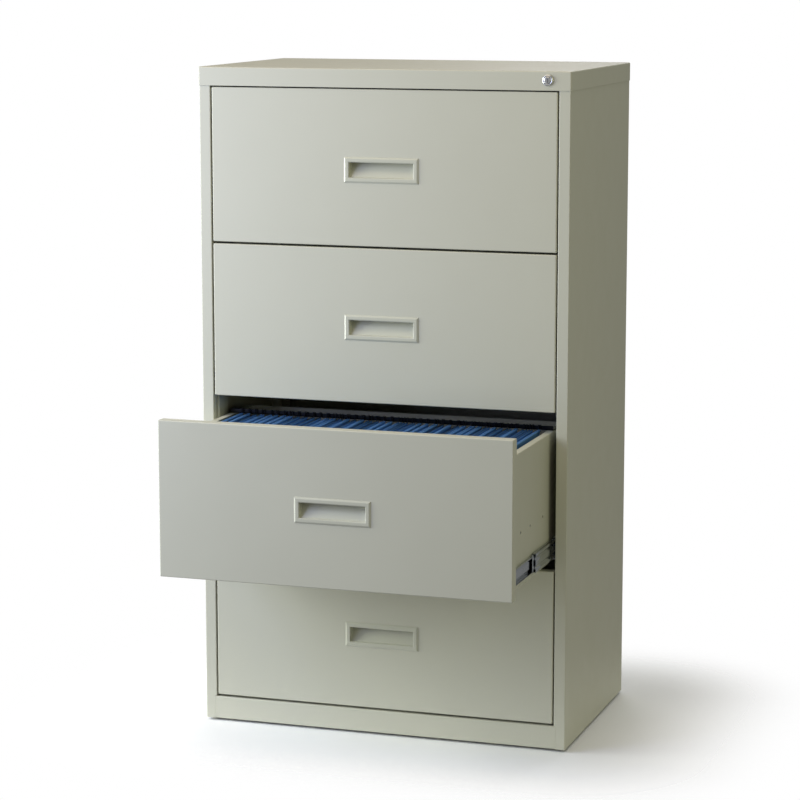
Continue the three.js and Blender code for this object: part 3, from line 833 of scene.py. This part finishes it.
class CABINET_OT_slides(bpy.types.Operator):
    """Builds the telescopic slides: three members with ball races, and the cages and balls between them"""

    bl_idname = "cabinet.slides"
    bl_label = "Slides"

    def execute(self, context):
        values = context.scene.cabinet.slide
        # the upper half of each section, in millimetres, from the tip of its flange down to its middle:
        # (distance in from the case's side of the slide, height from the slide's centre)
        sections = {
            "cabinet": [(11.2, 21.2), (10.2, 22.2), (8, 22.5), (4.2, 22.5), (2.6, 22.2), (0, 22.2)],
            "middle": [
                (11.9, 18),
                (11, 18.9),
                (7.4, 19),
                (6.4, 18.3),
                (5.2, 18.3),
                (4.7, 19),
                (3.2, 19),
                (3.2, 13.5),
                (4.9, 10.5),
                (4.9, 7.5),
                (3.4, 5),
            ],
            "drawer": [(6.3, 15.5), (7.3, 15), (9.4, 14.8), (10.2, 15.5), (12.7, 15.5), (12.7, 9), (11.2, 6.5)],
        }
        for number in DRAWERS:
            bodies = {"cabinet": "case", "middle": f"drawer_{number}_carriage", "drawer": f"drawer_{number}"}
            for name, side in SIDES:
                low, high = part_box(f"drawer_{number}_{name}_slide_cabinet")
                outer = max(abs(low.x), abs(high.x))
                middle_z = (low.z + high.z) / 2

                def seat(x, z):
                    return side * (outer - x * mm), middle_z + z * mm

                for member, half in sections.items():
                    node = f"drawer_{number}_{name}_slide_{member}"
                    low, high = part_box(node)
                    line = half + [(x, -z) for x, z in reversed(half)]
                    bm = bmesh.new()
                    strip(bm, [seat(x, z) for x, z in line], (low.y, high.y), values.bend, 4)
                    web = max(bm.faces, key=lambda f: f.calc_area())
                    # the line is the member's outside, so the wall goes in from it
                    inward = 1 if member == "drawer" else -1
                    bmesh.ops.recalc_face_normals(bm, faces=bm.faces)
                    if web.normal.x * side * inward > 0:
                        bmesh.ops.reverse_faces(bm, faces=bm.faces)
                    thicken(bm, values.sheet)
                    place_piece(f"{node}_formed", bm, "slide_zinc_steel", bodies[member], [node])
                self.cages(values, number, name, seat)
        return {"FINISHED"}

    def cages(self, values, number, name, seat):
        """The two ball cages of a slide, with a row of balls at the top and bottom of each."""
        middle_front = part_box(f"drawer_{number}_{name}_slide_middle")[0].y
        cabinet_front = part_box(f"drawer_{number}_{name}_slide_cabinet")[0].y
        # body, front end, then in millimetres half the height, and how far in the web, tips and balls are;
        # the inner one, between the middle and drawer members, stands a little ahead of the middle one
        cages = {
            "inner": (f"drawer_{number}_carriage", middle_front - 15 * mm, 16.5, 6.4, 10.6, 8.6),
            "outer": ("case", cabinet_front + 6 * mm, 20, 1.6, 7.4, 5.6),
        }
        first_ball, last_ball = 6 * mm, values.cage_length - 4 * mm
        for cage, (body, front, rise, web, tip, track) in cages.items():
            bm = bmesh.new()
            line = [(tip, rise), (web, rise), (web, -rise), (tip, -rise)]
            strip(bm, [seat(x, z) for x, z in line], (front, front + values.cage_length), 0.8 * mm)
            bmesh.ops.recalc_face_normals(bm, faces=bm.faces)
            thicken(bm, 0.5 * mm)
            y = front + first_ball
            while y < front + last_ball:
                for up in (-1, 1):
                    x, z = seat(track, up * (rise + 0.1))
                    bmesh.ops.create_uvsphere(
                        bm,
                        u_segments=10,
                        v_segments=6,
                        radius=values.ball / 2,
                        matrix=Matrix.Translation((x, y, z)),
                    )
                y += values.ball_pitch
            bmesh.ops.recalc_face_normals(bm, faces=bm.faces)
            place_piece(f"drawer_{number}_{name}_{cage}_ball_cage", bm, "slide_zinc_steel", body)


class CABINET_OT_folders(bpy.types.Operator):
    """Builds the hanging folders of the open drawer, each with two rods hooked on the tray and the file bar"""

    bl_idname = "cabinet.folders"
    bl_label = "Hanging folders"

    def execute(self, context):
        values = context.scene.cabinet.folders
        chance = random.Random(values.seed)
        low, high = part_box("drawer_3_folders")
        # what the rods hook over
        tray_low, tray_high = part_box("drawer_3_tray")
        bar_low, bar_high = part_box("drawer_3_file_bar")
        pitch = (high.x - low.x) / values.count
        nip = 1 * mm  # half the width of the card where it is pinched round a rod
        cards = bmesh.new()
        rods = bmesh.new()
        for i in range(values.count):
            # pushed along by hand, they stand unevenly, gape, lean and sag by a millimetre or three
            x = low.x + (i + 0.5) * pitch + chance.uniform(-1.7, 1.7) * mm
            half = values.spread / 2 + chance.uniform(-0.9, 1.1) * mm
            lean = chance.uniform(-3, 3) * mm
            top = high.z - chance.uniform(0, 1.6) * mm
            bottom = low.z + chance.uniform(0, 4) * mm
            left, right = x - half, x + half
            # in from one flap, over its rod, down to the fold at the bottom, and up again
            line = [
                (left + nip, top - 5 * mm),
                (left + nip, top),
                (left - nip, top),
                (left - nip, top - 1.8 * mm),
                (left + 0.8 * mm, top - 9 * mm),
                (x + lean - 1.5 * mm, bottom),
                (x + lean + 1.5 * mm, bottom),
                (right - 0.8 * mm, top - 9 * mm),
                (right + nip, top - 1.8 * mm),
                (right + nip, top),
                (right - nip, top),
                (right - nip, top - 5 * mm),
            ]
            card = bmesh.new()
            strip(card, line, (low.y, high.y), 0.7 * mm, 2)
            thicken(card, values.card)
            self.join(cards, card)
            for rod_x in (left, right):
                rod = bmesh.new()
                self.rod(rod, rod_x, values.rod, (tray_low.y, tray_high.z), (bar_low.y, bar_high.z))
                self.join(rods, rod)
        place_piece("hanging_folder_cards", cards, "blue_folder_card", "drawer_3", ["drawer_3_folders"], even=False)
        # the rods' near-black zinc is painted shade for the shadow they lie in
        place_piece("hanging_folder_rods", rods, "zinc_plated_steel", "drawer_3", even=False, look=black_zinc())
        return {"FINISHED"}

    def join(self, whole, part):
        """Adds a finished part to the whole mesh, and frees it."""
        mesh = bpy.data.meshes.new("part")
        part.to_mesh(mesh)
        part.free()
        whole.from_mesh(mesh)
        bpy.data.meshes.remove(mesh)

    def rod(self, bm, x, thickness, wall, bar):
        """A flat rod with a hook over the tray's front wall and another over the file bar, each given as
        (front, top)."""
        y0, wall_top = wall
        y1, z1 = bar[0], bar[1] - wall_top
        # from the front hook's tip, back under the rod to the bar's hook, and forward along its top
        outline = [
            (y0 - 2.4 * mm, -2.6 * mm),
            (y0 - 0.5 * mm, -2.6 * mm),
            (y0 - 0.5 * mm, 0.3 * mm),
            (y0 + 1.6 * mm, 0.3 * mm),
            (y0 + 1.6 * mm, -2.6 * mm),
            (y1 - 1 * mm, -2.6 * mm),
            (y1 - 1 * mm, z1 + 0.2 * mm),
            (y1 + 2 * mm, z1 + 0.2 * mm),
            (y1 + 2 * mm, z1 - 3.4 * mm),
            (y1 + 3.6 * mm, z1 - 3.4 * mm),
            (y1 + 3.6 * mm, z1 + 1.4 * mm),
            (y1 - 3.6 * mm, z1 + 1.4 * mm),
            (y1 - 3.6 * mm, 1 * mm),
            (y0 + 3.4 * mm, 1 * mm),
            (y0 + 3.4 * mm, 2.4 * mm),
            (y0 - 2.4 * mm, 2.4 * mm),
        ]
        face = bm.faces.new([bm.verts.new((x - thickness / 2, y, wall_top + z)) for y, z in outline])
        drawn = bmesh.ops.extrude_face_region(bm, geom=[face], use_keep_orig=True)["geom"]
        bmesh.ops.translate(bm, verts=new_verts(drawn), vec=(thickness, 0, 0))
        bmesh.ops.recalc_face_normals(bm, faces=bm.faces)


class CABINET_OT_stage(bpy.types.Operator):
    """Sets up the pale floor, the soft studio lights and the camera"""

    bl_idname = "cabinet.stage"
    bl_label = "Stage"

    def execute(self, context):
        values = context.scene.cabinet.stage
        bm = bmesh.new()
        bmesh.ops.create_grid(bm, x_segments=8, y_segments=8, size=3)
        mesh = bpy.data.meshes.new("floor")
        bm.to_mesh(mesh)
        bm.free()
        floor = bpy.data.objects.new("floor", mesh)
        # the footprint is the case's, without the open drawer
        low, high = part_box("left_side_panel")
        middle = (0, (low.y + high.y) / 2, 0)
        half = (abs(low.x), (high.y - low.y) / 2, 0)
        shadow_reach = 0.45
        mesh.materials.append(painted_floor("matt_floor_paint", values.floor, middle, half, shadow_reach))
        context.scene.collection.objects.link(floor)

        # place, what it points at, width and height in metres, and tint: cool at the left, warm at the right
        softboxes = {
            "key": ((-3, -1, 1.2), (0, -0.2, 0.7), (1.2, 2.2), "#FAFFF5"),
            "near": ((-1.5, -1.5, 1.3), (-0.1, -0.1, 0.7), (0.8, 1.8), "#C8D2FF"),
            "top": ((-0.4, -0.8, 3.4), (0, 0.1, 1.3), (2.4, 1.8), "#FFEDD2"),
            "fill": ((3.2, -1.6, 1.6), (0, 0, 0.7), (1.6, 2), "#FEFFD0"),
            "rear": ((0.3, 2.5, 3), (0, 0, 1.2), (2, 1.5), "#F5F8FF"),
            "back": ((-1.4, 3, 0.6), (0, 0.4, 0.7), (1.6, 1), "#FFFFFF"),
        }
        for name, (place, target, spread, tint) in softboxes.items():
            self.softbox(f"{name}_softbox", place, target, spread, getattr(values, name), tint)

        world = bpy.data.worlds.new("studio")
        context.scene.world = world
        world.use_nodes = True
        tree = world.node_tree
        tree.nodes.clear()
        # the room is plain white behind the cabinet, and lights it more softly
        path = add(tree, "ShaderNodeLightPath")
        level = add(
            tree, "ShaderNodeMapRange", {"To Min": values.ambient, "To Max": 1.0}, {"Value": (path, "Is Camera Ray")}
        )
        room = add(tree, "ShaderNodeBackground", {"Color": (1, 1, 1, 1)}, {"Strength": (level, "Result")})
        add(tree, "ShaderNodeOutputWorld", links={"Surface": (room, "Background")})

        camera = bpy.data.cameras.new("camera")
        camera.sensor_width = 36
        camera.lens = 121.86
        camera.clip_end = 60
        seat = bpy.data.objects.new("camera", camera)
        seat.location = (1.690, -5.0804, 1.549)
        seat.rotation_euler = (math.radians(90 - 9.314), math.radians(0.014), math.radians(18.307))
        context.scene.collection.objects.link(seat)
        context.scene.camera = seat
        context.scene.view_settings.view_transform = "Standard"
        return {"FINISHED"}

    def softbox(self, name, place, target, spread, power, tint):
        light = bpy.data.lights.new(name, "AREA")
        light.shape = "RECTANGLE"
        light.size, light.size_y = spread
        light.energy = power
        light.color = linear(tint)
        lamp = bpy.data.objects.new(name, light)
        lamp.location = place
        lamp.rotation_euler = (Vector(target) - Vector(place)).to_track_quat("-Z", "Y").to_euler()
        bpy.context.scene.collection.objects.link(lamp)


# ---- Add-on ---------------------------------------------------------------------------------


class CABINET_PT_panel(bpy.types.Panel):
    """Lists the cabinet's pieces and their settings"""

    bl_idname = "CABINET_PT_panel"
    bl_label = "Lateral file cabinet"
    bl_space_type = "VIEW_3D"
    bl_region_type = "UI"
    bl_category = "Lateral file"

    def draw(self, context):
        cabinet = context.scene.cabinet
        for operator in PIECES:
            self.layout.operator(operator.bl_idname)
        for group in ("sheet_metal", "pull", "slide", "folders", "finish", "stage"):
            box = self.layout.box()
            values = getattr(cabinet, group)
            for name in values.__annotations__:
                box.prop(values, name)


PIECES = (
    CABINET_OT_stage,
    CABINET_OT_case,
    CABINET_OT_glides,
    CABINET_OT_lock,
    CABINET_OT_drawer_fronts,
    CABINET_OT_pulls,
    CABINET_OT_trays,
    CABINET_OT_slides,
    CABINET_OT_folders,
)
SETTINGS = (
    SheetMetalSettings,
    PullSettings,
    SlideSettings,
    FolderSettings,
    FinishSettings,
    StageSettings,
    CabinetSettings,
)


def register():
    for kind in (*SETTINGS, *PIECES, CABINET_PT_panel):
        bpy.utils.register_class(kind)
    bpy.types.Scene.cabinet = bpy.props.PointerProperty(type=CabinetSettings)


def unregister():
    del bpy.types.Scene.cabinet
    for kind in reversed((*SETTINGS, *PIECES, CABINET_PT_panel)):
        bpy.utils.unregister_class(kind)


def main():
    register()
    bpy.ops.cabinet.stage()
    bpy.ops.cabinet.case()
    bpy.ops.cabinet.glides()
    bpy.ops.cabinet.lock()
    bpy.ops.cabinet.drawer_fronts()
    bpy.ops.cabinet.pulls()
    bpy.ops.cabinet.trays()
    bpy.ops.cabinet.slides()
    bpy.ops.cabinet.folders()


if __name__ == "__main__":
    main()
